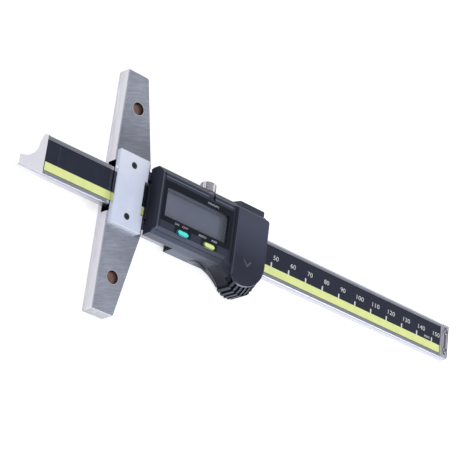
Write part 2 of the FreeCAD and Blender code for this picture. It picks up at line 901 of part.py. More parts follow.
def notch_x():
    middle = origin_x + notch_offset
    return (middle - notch_length / 2, middle + notch_length / 2)


def bezel_x():
    return (window_start - bezel_margin[0], window_end + bezel_margin[1])


def housing_screws():
    """Four countersunk screws from behind the slider body."""
    screws = []
    for x, y in housing_screw_places():
        head = cone(housing_head_radius, housing_screw_radius, screw_gap, housing_head_depth, x, y)
        shank = rod(housing_screw_radius, housing_head_depth, housing_screw_end, x, y)
        slots = cross_slot(x, y, (-CLEAR, screw_gap + cross_depth), housing_head_radius)
        screws.append(head.fuse(shank).cut(slots))
    return Part.makeCompound(screws)


def boss_holes(low, high):
    holes = []
    for x, y in housing_screw_places():
        if x < cavity_end:
            holes.append(rod(boss_radius + boss_gap, low - CLEAR, high + CLEAR, x, y))
    return Part.makeCompound(holes)


def inner_x():
    return (housing_start + end_wall + inner_gap, contact_start - inner_gap)


def inner_y():
    return (side_low + low_wall + inner_gap, side_high - side_wall - inner_gap)


def inner_frame():
    """Carrier that sits on the slider body's rails and bridges the beam slot."""
    carrier = block(inner_x(), inner_y(), (base_thick, board_low))
    low_y, high_y = slot_low - frame_slot_gap, slot_high + frame_slot_gap
    carrier = carrier.cut(block((0, body_length), (low_y, high_y), (0, frame_low)))
    return carrier.cut(boss_holes(base_thick, board_low))


def reader_head():
    """Sensing board over the scale, under the carrier."""
    half = beam_width / 2 - reader_side_gap
    return block((window_start + reader_inset[0], window_end - reader_inset[1]), (-half, half),
                 (reader_low, frame_low))


def circuit_board():
    start, end = inner_x()
    board = block((start, end + board_overlap), inner_y(), (board_low, board_top))
    x = on_off_x + chip_offset
    chip = block((x - chip_length / 2, x + chip_length / 2), (-chip_width / 2, chip_width / 2),
                 (board_top, board_top + chip_thick))
    return board.cut(boss_holes(board_low, board_top)).fuse(chip)


def contact_strips():
    """Two rubber strips that join the display panel to the circuit board."""
    start, end = lcd_x()
    strips = []
    for low_y in (lcd_low + strip_side_inset, lcd_high - strip_side_inset - strip_width):
        strips.append(block((start + strip_inset, end - strip_inset), (low_y, low_y + strip_width),
                            (board_top, lcd_back)))
    return Part.makeCompound(strips)


def lcd_x():
    return (window_start - lcd_margin[0], window_end + lcd_margin[1])


def lcd_panel():
    return block(lcd_x(), (lcd_low, lcd_high), (lcd_back, lcd_front))


def lcd_window():
    """Clear window with a flange behind the housing's front wall."""
    flange = block((window_start - window_flange_width, window_end + window_flange_width),
                   (window_low - window_flange_width, window_high + window_flange_width),
                   (lcd_front, cavity_top))
    raised = block((window_start + fit_gap, window_end - fit_gap),
                   (window_low + fit_gap, window_high - fit_gap), (lcd_front, cavity_top + window_rise))
    return fused([flange, raised])


def display_bezel():
    """Thin dark frame set into the housing's face round the window."""
    low = front - bezel_depth
    start, end = bezel_x()
    frame = block((start + fit_gap, end - fit_gap), (bezel_low + fit_gap, bezel_high - fit_gap),
                  (low, low + bezel_thick))
    hole = block((window_start, window_end), (window_low, window_high), (low - CLEAR, front + CLEAR))
    return frame.cut(hole)


def long_button(x):
    """A long key cap with a flange behind the front wall and a foot over its switch pad."""
    top = front + button_rise
    cap = key_plate(x, 0, flange_low, top)
    cap = bevelled(cap, button_bevel, lambda c: abs(c.z - top) < TINY)
    flange = key_plate(x, button_flange, flange_low, flange_low + flange_thick)
    foot = rod(foot_radius, button_foot, flange_low + flange_thick, x, button_y)
    return fused([cap, flange, foot])


def on_off_button():
    return long_button(on_off_x)


def zero_button():
    return long_button(zero_x)


def origin_button():
    """Small sunk key in the notch above the display."""
    top = front - notch_depth + origin_rise
    x = (origin_x - origin_length / 2, origin_x + origin_length / 2)
    y = (origin_low, origin_low + origin_width)
    cap = round_plate(x, y, (flange_low, top), origin_corner)
    flange = block((x[0] - origin_flange, x[1] + origin_flange), (y[0] - origin_flange, y[1]),
                   (flange_low, flange_low + flange_thick))
    foot = rod(origin_foot_radius, button_foot, flange_low + flange_thick, origin_x, origin_y)
    return fused([cap, flange, foot])


def key_pads():
    """Rubber switch pads on the circuit board, one under the two long keys and one behind."""
    z = (board_top, button_foot - button_travel - pad_gap)
    reach = button_length / 2 + pad_margin
    half = button_width / 2
    long_pad = round_plate((on_off_x - reach, zero_x + reach), (button_y - half, button_y + half), z,
                           pad_corner)
    reach, half = origin_pad_half
    small_pad = round_plate((origin_x - reach, origin_x + reach), (origin_y - half, origin_y + half), z,
                            pad_corner)
    return Part.makeCompound([long_pad, small_pad])


def battery():
    """Button cell, its can with a narrower rim below."""
    top = battery_low + battery_height
    can = rod(battery_radius, battery_low + battery_rim, top, battery_x, battery_y)
    can = rounded(can, battery_round, lambda c: c.z > top - TINY)
    rim = rod(battery_radius - battery_rim_inset, battery_low, battery_low + battery_rim,
              battery_x, battery_y)
    return can.fuse(rim)


def battery_contact_negative():
    strip = contact_path(negative_y(), battery_x + contact_width)
    tab = block((contact_start, contact_start + contact_thick), negative_y(),
                (pocket_floor, board_low))
    return fused([strip, tab])


def positive_leaf(gap=0.0):
    """The upright leaf that touches the side of the battery's can."""
    y = positive_y()
    return block((battery_x - contact_width / 2 - gap, battery_x + contact_width / 2 + gap),
                 (y[0] - gap, y[0] + contact_thick + gap),
                 (pocket_floor, battery_low + leaf_share * battery_height + gap))


def battery_contact_positive():
    strip = contact_path(positive_y(), battery_x + contact_width / 2)
    tab = block((contact_start, contact_start + contact_thick), positive_y(),
                (pocket_floor, board_low))
    return fused([strip, tab, positive_leaf()])


def battery_cover():
    """Cover with runners; its lower end is round and it slides off over the thumb rest."""
    right_centre = (body_length - cover_right_radius, cover_nose_y + cover_right_radius)
    left_centre = (right_centre[0], cover_nose_y + cover_left_radius)
    left_x = left_centre[0] - cover_left_radius
    corner = (body_length - cover_corner, cover_top_y - cover_corner)
    edges = [
        quarter(right_centre, cover_right_radius, -90, 0),
        quarter(left_centre, cover_left_radius, 180, 270),
        quarter(corner, cover_corner, 0, 90),
    ]
    edges += lines([(body_length, right_centre[1]), (body_length, corner[1])])
    edges += lines([(corner[0], cover_top_y), (left_x, cover_top_y), (left_x, left_centre[1])])
    lid = prism(edges, seat, cover_top)
    lid = rounded(lid, cover_round, lambda c: abs(c.z - cover_top) < TINY)
    lid = fused([lid, tongue_spaces(0)])
    return lid.cut(arrow())


def arrow():
    """A chevron that points the way the cover slides."""
    x, y = battery_x + arrow_offset[0], battery_y + arrow_offset[1]
    half = arrow_width / 2
    high, low = y + arrow_drop / 2, y - arrow_drop / 2
    corners = [
        (x - half, high), (x, low), (x + half, high), (x + half - arrow_line, high),
        (x, low + arrow_height), (x - half + arrow_line, high), (x - half, high),
    ]
    return prism(lines(corners), cover_top - arrow_depth, cover_top + CLEAR)


def output_socket():
    """Connector block with a row of pins, deep in the housing's upper side."""
    face = socket_face_y - pin_length
    body = block((socket_start + fit_gap, socket_end - fit_gap), (socket_low_y + fit_gap, face),
                 (socket_low + fit_gap, socket_low + socket_height - fit_gap))
    pitch = (socket_end - socket_start) / (pin_count + 1)
    pins = []
    for index in range(pin_count):
        x = socket_start + pitch * (index + 1)
        pins.append(rod(pin_radius, face - pin_root, socket_face_y, x,
                        socket_low + socket_height / 2, Y_AXIS))
    return fused([body] + pins)


def output_cap():
    """Push-in cap over the output socket, flush with the ramp beside it."""
    face = side_high + cap_gap
    plate = block((cap_start, body_length), (face, side_high + cap_depth),
                  (base_thick + cap_gap, base_thick + cap_height))
    plate = rounded(plate, cap_round, lambda c: abs(c.y - side_high - cap_depth) < 0.01
                    and abs(c.x - body_length) < TINY)
    tongue = block((socket_start + cap_tongue_gap, socket_end - cap_tongue_gap),
                   (socket_face_y + cap_tongue_end_gap, face + cap_gap),
                   (socket_low + cap_tongue_gap, socket_low + socket_height - cap_tongue_gap))
    return fused([plate, tongue])


NODES = {
    "depth_base": depth_base,
    "retaining_plate": retaining_plate,
    "retaining_screws": retaining_screws,
    "gib": gib,
    "gib_screws": gib_screws,
    "clamp_shoe": clamp_shoe,
    "lock_screw": lock_screw,
    "beam": beam,
    "scale_strip": scale_strip,
    "scale_label": scale_label,
    "end_stop": end_stop,
    "end_stop_screws": end_stop_screws,
    "housing": housing,
    "housing_screws": housing_screws,
    "inner_frame": inner_frame,
    "reader_head": reader_head,
    "circuit_board": circuit_board,
    "contact_strips": contact_strips,
    "lcd_panel": lcd_panel,
    "lcd_window": lcd_window,
    "display_bezel": display_bezel,
    "on_off_button": on_off_button,
    "zero_button": zero_button,
    "origin_button": origin_button,
    "key_pads": key_pads,
    "battery": battery,
    "battery_contact_negative": battery_contact_negative,
    "battery_contact_positive": battery_contact_positive,
    "battery_cover": battery_cover,
    "output_socket": output_socket,
    "output_cap": output_cap,
}

os.makedirs("parts", exist_ok=True)
for name, build in NODES.items():
    shape = build()
    print(name, "solids", len(shape.Solids), "valid", shape.isValid(), "volume", round(shape.Volume, 1))
    shape.exportStep(os.path.join("parts", name + ".step"))
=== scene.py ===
"""Looks of the digital depth gauge: finishes for every piece, the printed scale and key lettering,
plain studio light and the camera. Sizes are in millimetres until MM turns them into metres.
"""

import math

import bmesh
import bpy
from mathutils import Matrix, Vector


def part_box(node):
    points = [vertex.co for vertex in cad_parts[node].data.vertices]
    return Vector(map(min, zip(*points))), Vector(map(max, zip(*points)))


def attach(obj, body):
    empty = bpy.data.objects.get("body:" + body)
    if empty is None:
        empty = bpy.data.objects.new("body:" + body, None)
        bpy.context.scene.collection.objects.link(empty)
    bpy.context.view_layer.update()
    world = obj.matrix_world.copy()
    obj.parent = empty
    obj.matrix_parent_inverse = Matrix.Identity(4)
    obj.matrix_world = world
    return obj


MM = 0.001
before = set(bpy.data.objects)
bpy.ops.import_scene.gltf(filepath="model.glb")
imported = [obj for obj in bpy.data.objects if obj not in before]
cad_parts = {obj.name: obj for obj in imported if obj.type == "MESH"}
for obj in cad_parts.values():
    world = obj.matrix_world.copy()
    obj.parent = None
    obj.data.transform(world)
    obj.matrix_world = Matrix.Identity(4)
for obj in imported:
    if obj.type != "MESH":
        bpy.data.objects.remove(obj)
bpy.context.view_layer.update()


def span(node, axis):
    """Low and high limit of a node on one axis, in millimetres."""
    low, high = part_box(node)
    return low[axis] / MM, high[axis] / MM


def middle(node, axis):
    low, high = span(node, axis)
    return (low + high) / 2


# Printed scale: marks every 10 mm, their zero and the places of the print on the label
scale_zero = 35.6
scale_marks = 16
mark_pitch = 10.0
stripe_low, stripe_high = -6.3, -2.68
tick_width = 0.76
tick_height = 2.0
number_height = 1.95
number_low = 0.75
number_offset = 0.75
digit_width = 1.48
unit_left, unit_low = 4.9, 0.75
unit_width, unit_height = 3.4, 1.05
print_thick = 0.012
label_top = span("scale_label", 2)[1]

# Lettering beside the keys: words, left end, baseline, width, height
bezel_top = span("display_bezel", 2)[1]
key_words = {
    "on_word": ("ON", middle("on_off_button", 0) - 4.3, -7.8, 2.1, 0.8),
    "off_word": ("OFF", middle("on_off_button", 0) - 0.6, -7.8, 3.0, 0.8),
    "zero_word": ("ZERO", middle("zero_button", 0) - 5.9, -7.95, 4.2, 0.8),
    "abs_word": ("ABS", middle("zero_button", 0) + 0.9, -7.85, 3.0, 0.8),
    "origin_word": ("ORIGIN", middle("origin_button", 0) - 1.4, 6.8, 5.8, 0.8),
}

# The label's border and the joint near its start, and the beam's narrow measuring tip
label_border = 0.3
label_joint = 5.9
tip_start = -30.95

# The display's field of characters
display_x, display_y = (23.0, 52.2), (-5.6, 5.25)

# The base's extension holes with the turned rings round them, and its slot with the relief beside it
hole_x, hole_y, hole_radius = 7.1, 35.3, 2.55
ring_radii = (3.9, 5.1, 6.4)
slot_edge, relief_edge, relief_depth = 8.0, 10.62, 3.45

# The polished stretch of the plate's left edge, and the end stop's darker middle
polished_y = (-7.6, 7.8)
stop_middle_y = (-6.4, 6.4)

# The housing's front: its left end, the painted highlight lines below its upper edge with their
# tones, the cap's seat, and how far the painted shade reaches round the keys and beside the cover
front_left = span("housing", 0)[0] + 1.8
high_edge = span("origin_button", 1)[1] - 0.2
highlight_lines = ((-0.75, -0.2, 172), (-2.35, -2.0, 122))
cap_seat = ((56.5, 76.0), (11.7, 17.0))
key_shade, cover_shade = 0.6, 2.6

# The housing's side wall: the hollow in it, and the seam that slants down along the thumb rest
rest_reach = 7.6
side_low = span("housing", 1)[0] + rest_reach
hollow_x, hollow_z, hollow_depth = (45.0, 54.5), (1.3, 7.3), 1.4
hollow_line = 0.6
seam_x, seam_slope = (53.4, 62.0), 0.2
seam_low, seam_high, lip_high = 13.85, 14.45, 13.95

# The ribs of the thumb rest, and the arrow on the battery cover
rib_start, rib_pitch, rib_crest = 62.85, 1.95, 1.0
rib_high = -14.4
arrow_place = (middle("battery", 0) - 0.2, middle("battery", 1) - 2.7)
arrow_reach = (3.2, 2.2)

# Places past every edge of the object, for masks that are open on one side
far_x, far_y = 76.0, -40.0

# Camera, fitted to the photograph
camera_place = Vector((-0.333736, -0.254197, 0.472115))
camera_right = Vector((0.72372083, 0.11438131, 0.68054763))
camera_down = Vector((0.34380215, -0.91483209, -0.21185451))
camera_forward = Vector((0.59835461, 0.38729726, -0.70140758))
focal_pixels, photo_pixels = 1657.96, 470
sensor_width = 36.0

# Light: the sky's level at the horizon and overhead, the floor's own light, and the lamps with
# their place, size and power
sky_colour = (0.95, 0.965, 1.0, 1)
sky_low, sky_high = 0.85, 0.3
floor_reach, floor_drop = 4.0, 0.00002
floor_grey, floor_lift = 0.82, 0.55
lamp_colour = (0.93, 0.955, 1.0)
lamp_aim = (0.075, 0.0, 0.0)
lamps = {
    "key_light": ((-0.25, 0.35, 0.95), 0.8, 3.0),
    "side_light": ((0.72, -0.62, 0.66), 0.7, 5.0),
}


def linear(red, green, blue):
    """A colour given in screen values of 0 to 255, for a shader."""
    values = []
    for value in (red, green, blue):
        share = value / 255
        values.append(share / 12.92 if share <= 0.04045 else ((share + 0.055) / 1.055) ** 2.4)
    return (*values, 1.0)


class Finish:
    """A procedural material under construction, in the coordinates of the object it goes on."""

    def __init__(self, name, colour, roughness, metallic=0.0):
        self.material = bpy.data.materials.new(name)
        self.material.use_nodes = True
        self.tree = self.material.node_tree
        self.shader = self.tree.nodes["Principled BSDF"]
        self.shader.inputs["Metallic"].default_value = metallic
        self.shader.inputs["Roughness"].default_value = roughness
        self.shader.inputs["Base Color"].default_value = colour
        self.place = self.tree.nodes.new("ShaderNodeTexCoord")
        self.parts = self.tree.nodes.new("ShaderNodeSeparateXYZ")
        self.tree.links.new(self.place.outputs["Object"], self.parts.inputs[0])
        self.colour = colour
        self.height = None

    def math(self, kind, first, second):
        """A sum, product or other result of two numbers or sockets."""
        node = self.tree.nodes.new("ShaderNodeMath")
        node.operation = kind
        for slot, value in enumerate((first, second)):
            if isinstance(value, (int, float)):
                node.inputs[slot].default_value = value
            else:
                self.tree.links.new(value, node.inputs[slot])
        return node.outputs[0]

    def ramp(self, value, low, high, low_out=0.0, high_out=1.0):
        """A value's range turned into another, held at both ends."""
        node = self.tree.nodes.new("ShaderNodeMapRange")
        self.tree.links.new(value, node.inputs["Value"])
        node.inputs["From Min"].default_value = low
        node.inputs["From Max"].default_value = high
        node.inputs["To Min"].default_value = low_out
        node.inputs["To Max"].default_value = high_out
        return node.outputs["Result"]

    def between(self, value, low, high, soft=0.02):
        """1 where a value lies between two places, in millimetres, and 0 outside."""
        up = self.ramp(value, (low - soft) * MM, (low + soft) * MM)
        down = self.ramp(value, (high - soft) * MM, (high + soft) * MM, 1.0, 0.0)
        return self.math("MULTIPLY", up, down)

    def inside(self, axis, low, high, soft=0.02):
        """1 between two places on an axis."""
        return self.between(self.parts.outputs[axis], low, high, soft)

    def box(self, x, y, soft=0.02):
        """1 inside a rectangle in plan."""
        return self.math("MULTIPLY", self.inside(0, *x, soft), self.inside(1, *y, soft))

    def disc(self, x, y, radius, soft=0.02):
        """1 inside a circle in plan."""
        across = self.math("SUBTRACT", self.parts.outputs[0], x * MM)
        along = self.math("SUBTRACT", self.parts.outputs[1], y * MM)
        squares = self.math("ADD", self.math("POWER", across, 2.0), self.math("POWER", along, 2.0))
        reach = self.math("SQRT", squares, 0.0)
        return self.ramp(reach, (radius - soft) * MM, (radius + soft) * MM, 1.0, 0.0)

    def ring(self, x, y, inner, outer, soft=0.05):
        """1 between two circles about a place."""
        hole = self.math("SUBTRACT", 1.0, self.disc(x, y, inner, soft))
        return self.both(self.disc(x, y, outer, soft), hole)

    def stripes(self, axis, start, pitch, width, soft=0.08):
        """1 on stripes that repeat along an axis."""
        offset = self.math("SUBTRACT", self.parts.outputs[axis], start * MM)
        place = self.math("FLOORED_MODULO", offset, pitch * MM)
        up = self.ramp(place, 0.0, soft * MM)
        down = self.ramp(place, (width - soft) * MM, width * MM, 1.0, 0.0)
        return self.math("MULTIPLY", up, down)

    def along(self, axis, low, high):
        """Grows from 0 to 1 between two places on an axis."""
        return self.ramp(self.parts.outputs[axis], low * MM, high * MM)

    def both(self, first, *others):
        """1 only where every mask is."""
        for other in others:
            first = self.math("MULTIPLY", first, other)
        return first

    def facing(self, axis, sign, low=0.6, high=0.8):
        """1 where the surface looks along an axis."""
        parts = self.tree.nodes.new("ShaderNodeSeparateXYZ")
        self.tree.links.new(self.place.outputs["Normal"], parts.inputs[0])
        return self.ramp(parts.outputs[axis], low * sign, high * sign)

    def noise(self, scale, stretch=(1, 1, 1), detail=3.0, rough=0.55, turn=0.0):
        """Noise with a number of blobs a millimetre, longer along the axes with a small stretch,
        and turned in plan by some degrees.
        """
        mapping = self.tree.nodes.new("ShaderNodeMapping")
        mapping.vector_type = "TEXTURE"
        mapping.inputs["Scale"].default_value = [MM / (s * scale) for s in stretch]
        mapping.inputs["Rotation"].default_value[2] = math.radians(turn)
        self.tree.links.new(self.place.outputs["Object"], mapping.inputs["Vector"])
        node = self.tree.nodes.new("ShaderNodeTexNoise")
        node.inputs["Scale"].default_value = 1.0
        node.inputs["Detail"].default_value = detail
        node.inputs["Roughness"].default_value = rough
        self.tree.links.new(mapping.outputs[0], node.inputs["Vector"])
        return node.outputs[0]

    def mixed(self, mask, first, second, kind="MIX"):
        """Two colours mixed by a mask, each a value or a socket."""
        node = self.tree.nodes.new("ShaderNodeMix")
        node.data_type = "RGBA"
        node.blend_type = kind
        for slot, value in ((0, mask), (6, first), (7, second)):
            if isinstance(value, (int, float, tuple)):
                node.inputs[slot].default_value = value
            else:
                self.tree.links.new(value, node.inputs[slot])
        return node.outputs[2]

    def paint(self, mask, colour):
        """Another colour where the mask is 1."""
        self.colour = self.mixed(mask, self.colour, colour)
        return self

    def vary(self, source, darkest, lightest=1.0):
        """The colour multiplied by noise between two levels."""
        level = self.ramp(source, 0.3, 0.7, darkest, lightest)
        grey = self.tree.nodes.new("ShaderNodeCombineColor")
        for slot in range(3):
            self.tree.links.new(level, grey.inputs[slot])
        self.colour = self.mixed(1.0, self.colour, grey.outputs[0], "MULTIPLY")
        return self

    def roughen(self, source, low, high):
        """Roughness between two levels after a noise."""
        self.tree.links.new(self.ramp(source, 0.3, 0.7, low, high), self.shader.inputs["Roughness"])
        return self

    def shift(self, socket, mask, plain, masked):
        """A shader value that differs where the mask is 1."""
        self.tree.links.new(self.ramp(mask, 0.0, 1.0, plain, masked), self.shader.inputs[socket])
        return self

    def grazing(self, low, high):
        """1 where the surface is seen at a flat angle."""
        node = self.tree.nodes.new("ShaderNodeLayerWeight")
        node.inputs["Blend"].default_value = 0.5
        return self.ramp(node.outputs["Facing"], low, high)

    def bump(self, source, depth):
        """Relief of a depth in millimetres from a source between 0 and 1."""
        node = self.tree.nodes.new("ShaderNodeBump")
        node.inputs["Strength"].default_value = 1.0
        node.inputs["Distance"].default_value = depth * MM
        self.tree.links.new(source, node.inputs["Height"])
        if self.height is not None:
            self.tree.links.new(self.height, node.inputs["Normal"])
        self.height = node.outputs[0]
        return self

    def done(self, **sockets):
        if not isinstance(self.colour, tuple):
            self.tree.links.new(self.colour, self.shader.inputs["Base Color"])
        if self.height is not None:
            self.tree.links.new(self.height, self.shader.inputs["Normal"])
        for socket, value in sockets.items():
            self.shader.inputs[socket.replace("_", " ")].default_value = value
        return self.material


def dress(node, material):
    """One material on a whole node of the frame."""
    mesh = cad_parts[node].data
    mesh.materials.clear()
    mesh.materials.append(material)


def ground_steel(name, colour, turn=0.0):
    """Ground steel, and the noise of its fine marks near the direction of X and of its faint clouds."""
    finish = Finish(name, colour, 0.36, 1.0)
    marks = finish.noise(1.3, (0.12, 1.0, 1.0), 4.0, 0.7, turn)
    clouds = finish.noise(0.12, detail=3.0)
    finish.roughen(clouds, 0.32, 0.4).bump(marks, 0.004)
    return finish, marks, clouds


def base_steel():
    """The base: painted shade on its top near the housing, paling toward the arms' ends; a painted
    reflection on its lower side; a measuring face lighter for its finer grinding and as a painted
    reflection; painted highlights round the holes; painted shade in the bores and in the slot's relief.
    """
    finish, marks, clouds = ground_steel("base_steel", linear(188, 192, 206), 20.0)
    top, left = finish.facing(2, 1), finish.facing(0, -1)
    # Painted shade on the top near the housing, and painted light that pales it toward the arms' ends.
    finish.paint(finish.both(top, finish.along(1, 34, 18)), linear(166, 168, 180))
    finish.paint(finish.both(top, finish.along(1, 12, -14)), linear(192, 196, 211))
    for side in (-1, 1):
        finish.paint(finish.both(top, finish.along(1, side * 24, side * 44)), linear(203, 208, 224))
    # Painted reflection: the lower side gets a tone of its own for the light it catches.
    finish.paint(finish.facing(1, -1), linear(192, 192, 198))
    finish.vary(marks, 0.8, 1.14).vary(clouds, 0.93, 1.04)
    for side in (-1, 1):
        for radius in ring_radii:
            ring = finish.ring(hole_x, side * hole_y, radius, radius + 0.5, 0.2)
            finish.paint(finish.both(top, ring, 0.22), linear(226, 230, 240))
        # Painted highlight on the small chamfer round each hole.
        rim = finish.ring(hole_x, side * hole_y, hole_radius, hole_radius + 0.35)
        finish.paint(rim, linear(232, 234, 236))
    streaks = finish.ramp(finish.noise(2.2, (1.0, 0.03, 1.0), 3.0, 0.6), 0.35, 0.65)
    # The measuring face is lighter, partly for its finer grinding and partly as a painted reflection;
    # its streaks grow darker towards the bottom.
    finish.paint(left, linear(218, 217, 223))
    finish.paint(finish.both(left, streaks, finish.along(2, 7, 1)), linear(190, 187, 195))
    for side in (-1, 1):
        hole = finish.disc(hole_x, side * hole_y, hole_radius + 0.06)
        finish.paint(hole, linear(126, 84, 66))
        # Painted shade in the upper part of each bore; the brown is the bore's own colour.
        finish.paint(finish.both(hole, finish.along(2, 2.8, 4.8)), linear(42, 36, 34))
        # Painted shade in the deep gap of the slot's relief beside the beam.
        low, high = sorted((side * slot_edge, side * relief_edge))
        finish.paint(finish.box((0.02, relief_depth), (low, high)), linear(26, 26, 30))
    return finish.done()


def beam_steel():
    """The beam: a painted highlight line and painted shade along its upper border, painted reflections
    and a painted soft shade on its side, a painted reflection on its end faces, and its pale tip.
    """
    finish, marks, clouds = ground_steel("beam_steel", linear(188, 190, 200))
    finish.vary(marks, 0.86, 1.04).vary(clouds, 0.93, 1.04)
    edge, top = span("beam", 1)[1], span("beam", 2)[1]
    side = finish.facing(1, -1)
    tip = finish.inside(0, tip_start - 30, tip_start, 0.1)
    # Painted highlight line just inside the upper edge.
    finish.paint(finish.inside(1, edge - 0.85, edge - 0.35, 0.08), linear(234, 234, 246))
    # Painted shade on the upper border where it runs under the base.
    border = finish.both(finish.inside(1, edge - 2, edge - 0.1), finish.along(0, 10, -8))
    finish.paint(border, linear(166, 168, 178))
    # Painted shade along the upper edge.
    finish.paint(finish.inside(1, edge - 0.2, edge + 1, 0.06), linear(132, 136, 142))
    finish.paint(tip, linear(251, 249, 255))
    # Painted reflection: the side is lighter than the top.
    finish.paint(side, linear(218, 217, 226))
    # Painted soft shade on the side where it runs near the base, and painted light toward the tip.
    shade = finish.both(finish.along(0, -30, -6), finish.along(0, 70, 10))
    finish.paint(finish.both(side, shade), linear(198, 197, 205))
    finish.paint(finish.both(side, finish.along(0, -28, -36)), linear(232, 231, 238))
    # Painted shade along the side's upper band.
    finish.paint(finish.both(side, finish.along(2, top - 1.5, top - 0.4)), linear(166, 165, 174))
    # Painted reflection that makes the end faces nearly white.
    finish.paint(finish.facing(0, -1), linear(255, 252, 255))
    finish.shift("Metallic", finish.both(tip, finish.facing(2, 1)), 1.0, 0.3)
    return finish.done()


def gib_steel():
    finish, marks, clouds = ground_steel("gib_steel", linear(176, 177, 184))
    return finish.vary(marks, 0.86, 1.04).vary(clouds, 0.93, 1.04).done()


def satin(name, colour):
    finish = Finish(name, colour, 0.42, 0.15)
    grain = finish.noise(16.0, detail=2.0)
    clouds = finish.noise(0.2)
    finish.vary(clouds, 0.95, 1.02).roughen(clouds, 0.38, 0.5).bump(grain, 0.003)
    return finish


def plate_satin():
    """The plate across the beam: painted shade on its lower side, painted light on its top toward +Y,
    and a left edge that is polished and mirrors the label.
    """
    finish = satin("satin_plate", linear(230, 236, 255))
    # Painted shade on the lower side and painted light on the top toward +Y.
    finish.paint(finish.facing(1, -1), linear(226, 232, 234))
    finish.paint(finish.both(finish.facing(2, 1), finish.along(1, 2, 16)), linear(240, 244, 255))
    polished = finish.both(finish.facing(0, -1), finish.inside(1, *polished_y, 0.3))
    finish.paint(polished, linear(226, 230, 236))
    finish.shift("Metallic", polished, 0.15, 1.0).shift("Roughness", polished, 0.44, 0.12)
    return finish.done()


def stop_satin():
    """The end stop, darker between its screws, with painted shade along its left edge and painted light
    on its left face.
    """
    finish = satin("stop_satin", linear(186, 186, 196))
    low, high = span("end_stop", 0)
    finish.paint(finish.box((low + 1.1, high - 1.3), stop_middle_y, 0.15), linear(104, 102, 112))
    # Painted shade along the left edge, and painted light on the left face.
    finish.paint(finish.inside(0, low - 1, low + 0.35, 0.1), linear(140, 138, 148))
    finish.paint(finish.facing(0, -1), linear(225, 225, 230))
    finish.paint(finish.inside(0, high - 0.45, high + 1, 0.1), linear(96, 94, 102))
    return finish.done()


def screw_metal(name, colour, roughness):
    finish = Finish(name, colour, roughness, 1.0)
    marks = finish.noise(4.0)
    finish.vary(marks, 0.8, 1.05).roughen(marks, roughness * 0.7, roughness * 1.3).bump(marks, 0.006)
    return finish.done()


def cell_metal():
    """Smooth nickel-plated steel of the button cell, with its faint turned rings."""
    x, y = middle("battery", 0), middle("battery", 1)
    finish = Finish("cell_steel", linear(206, 206, 210), 0.3, 1.0)
    for radius in (1.6, 3.2, 4.7):
        finish.paint(finish.ring(x, y, radius, radius + 0.18), linear(176, 176, 182))
    clouds = finish.noise(0.4)
    finish.vary(clouds, 0.93, 1.03).roughen(clouds, 0.26, 0.34)
    return finish.done()


def moulded(name, colour, roughness=0.5, grain=0.008, blobs=7.0):
    """Plastic with a fine eroded mould texture and a slightly uneven tone."""
    finish = Finish(name, colour, roughness)
    texture = finish.noise(blobs, detail=4.0, rough=0.7)
    clouds = finish.noise(0.12)
    finish.vary(clouds, 0.9, 1.06).vary(texture, 0.92, 1.05)
    finish.roughen(texture, roughness * 0.85, roughness * 1.2).bump(texture, grain)
    return finish


def label_film():
    """Printed film: navy above, yellow-green below, with a dark outline at its start."""
    finish = Finish("label_film", linear(34, 39, 56), 0.3)
    start = span("scale_label", 0)[0]
    low, high = span("scale_label", 1)
    finish.paint(finish.inside(1, low - 1, stripe_high, 0.05), linear(243, 251, 166))
    finish.paint(finish.box((start - 1, start + label_border), (low - 1, high + 1)), linear(28, 30, 40))
    finish.paint(finish.inside(1, high - label_border, high + 1), linear(24, 26, 34))
    finish.paint(finish.inside(1, low - 1, low + label_border / 2), linear(70, 72, 48))
    joint = start + label_joint
    finish.paint(finish.box((joint, joint + 0.2), (stripe_high, high + 1)), linear(66, 70, 86))
    clouds = finish.noise(0.3)
    finish.vary(clouds, 0.94, 1.03).roughen(clouds, 0.24, 0.36)
    return finish.done(Specular_IOR_Level=0.38)


def display_film():
    """Display glass: dull field, with painted shade of the recess walls that fades into it above and on
    the right, and painted light that pales the field toward its left.
    """
    finish = Finish("display_film", linear(26, 28, 26), 0.3)
    low, high = display_x
    # Painted shade of the recess walls round the field.
    finish.paint(finish.box((low - 0.6, high + 0.8), (display_y[0] - 0.1, display_y[1] + 0.9), 0.5),
                 linear(64, 66, 64))
    # Painted shade toward the right side of the field.
    field = finish.both(finish.box(display_x, display_y, 0.3), finish.along(0, high + 0.2, high - 1.8))
    finish.paint(field, linear(94, 99, 119))
    # Painted light toward the left side of the field.
    finish.paint(finish.both(field, finish.along(0, low + 9, low)), linear(106, 106, 124))
    clouds = finish.noise(0.08)
    finish.vary(clouds, 0.95, 1.03)
    return finish.done()


def key_plastic(node, colour, side):
    """Glossy key, with a painted highlight in its middle and painted shade on its sloping sides."""
    # The base colour is the painted shade of the key's sloping sides.
    finish = Finish(node + "_plastic", side, 0.22)
    top = finish.facing(2, 1, 0.8, 0.97)
    limits = [span(node, axis) for axis in (0, 1)]
    # Painted highlight: the top is lighter, most of all in its middle.
    for inset, soft, share in ((0.2, 0.15, 0.8), (0.95, 0.5, 1.0)):
        field = finish.box(*[(low + inset, high - inset) for low, high in limits], soft)
        finish.paint(finish.both(top, field), (*[value * share for value in colour[:3]], 1.0))
    texture = finish.noise(2.0)
    finish.vary(texture, 0.96, 1.03).bump(texture, 0.004)
    return finish.done()


def origin_key():
    """Dark sunk key, paler at the end that shows at the housing's edge."""
    finish = moulded("key_silver", linear(52, 51, 60), 0.4)
    edge = span("origin_button", 1)[1]
    finish.paint(finish.inside(1, edge - 0.9, edge + 1), linear(118, 114, 126))
    return finish.done()


def window_plastic():
    finish = Finish("window_plastic", linear(196, 204, 222), 0.06)
    haze = finish.noise(0.3)
    finish.vary(haze, 0.97, 1.02)
    return finish.done(Alpha=0.16)


